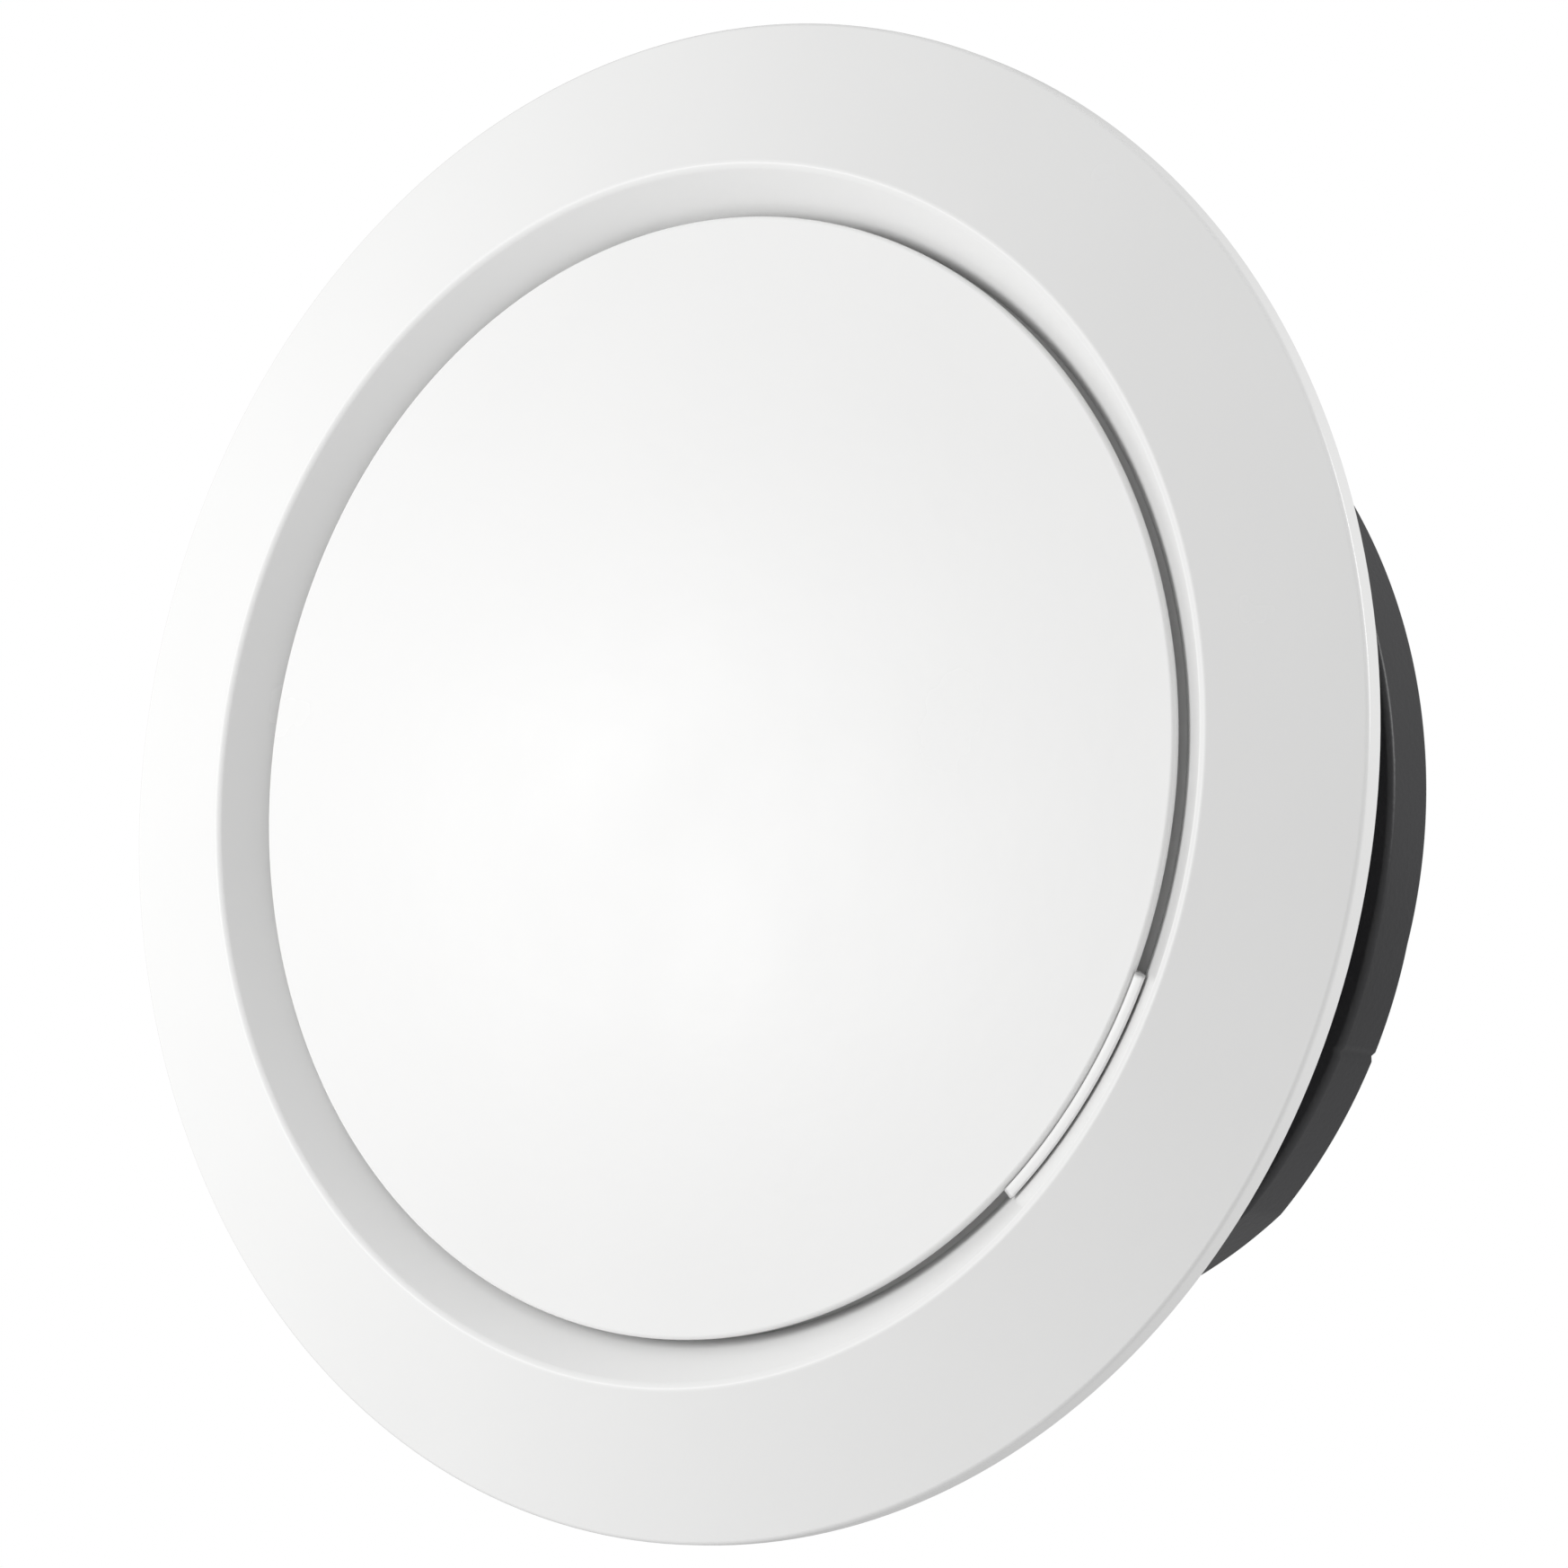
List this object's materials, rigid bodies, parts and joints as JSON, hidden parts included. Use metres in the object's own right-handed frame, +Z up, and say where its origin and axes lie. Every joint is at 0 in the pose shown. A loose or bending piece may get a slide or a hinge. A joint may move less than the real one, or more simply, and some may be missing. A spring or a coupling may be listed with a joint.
{
  "type": "concealed fire sprinkler head",
  "caption": "Flush concealed fire sprinkler: white trim ring and heat-released cover plate over a threaded glass-bulb sprinkler in a black cup.",
  "frame": {"origin": "on the sprinkler's axis, in the plane of the finished wall or ceiling that the trim ring's back bears on", "axes": "+Y along the axis into the wall, towards the threaded inlet; the cover plate faces -Y; +Z is up as the part is stored, with its axis level; +X is to the right as seen from the front"},
  "size_m": [0.0834, 0.0493, 0.0834],
  "materials": {
    "white_enamel": "smooth white enamel, semi-gloss",
    "zinc_steel": "bright zinc plated sheet steel",
    "spring_steel": "bright stainless steel",
    "black_steel": "black coated sheet steel, satin",
    "black_plastic": "moulded black plastic, satin",
    "cast_brass": "cast and machined brass, natural",
    "bronze": "stamped phosphor bronze, natural",
    "bulb_glass": "clear glass bulb filled with red liquid",
    "seal_film": "spring washer coated with white sealing film"
  },
  "bodies": {
    "sprinkler": {"support_cup": "black_steel", "collar_clip": "zinc_steel", "sprinkler_frame": "cast_brass", "cup_clip": "zinc_steel", "load_screw": "cast_brass", "glass_bulb": "bulb_glass", "pip_cap": "bronze", "seal_washer": "seal_film", "guide_pin_housing": "bronze"},
    "trim": {"trim_ring": "white_enamel", "cover_retainer": "zinc_steel", "solder_tab_1": "white_enamel", "solder_tab_2": "white_enamel", "solder_tab_3": "white_enamel", "ejection_spring_1": "spring_steel", "ejection_spring_2": "spring_steel", "ejection_spring_3": "spring_steel"},
    "cover": {"cover_plate": "white_enamel"},
    "collar": {"locking_collar": "black_plastic"},
    "deflector": {"deflector": "bronze", "guide_pin_left": "spring_steel", "guide_pin_right": "spring_steel"}
  },
  "joints": [
    {"name": "trim_adjust", "type": "slide", "parent": "sprinkler", "child": "trim", "axis": [0, -1, 0], "range_m": [-0.003, 0.0097]},
    {"name": "cover_release", "type": "slide", "parent": "trim", "child": "cover", "axis": [0, -1, 0], "range_m": [0, 0.04]},
    {"name": "deflector_drop", "type": "slide", "parent": "sprinkler", "child": "deflector", "axis": [0, -1, 0], "range_m": [0, 0.012]},
    {"name": "collar_turn", "type": "hinge", "parent": "sprinkler", "child": "collar", "pos_m": [0, 0.0215, 0], "axis": [0, -1, 0], "range_deg": [0, 30]}
  ],
  "couplings": [
    {"joint": "deflector_drop", "follows": "cover_release", "ratio": 0.3}
  ]
}
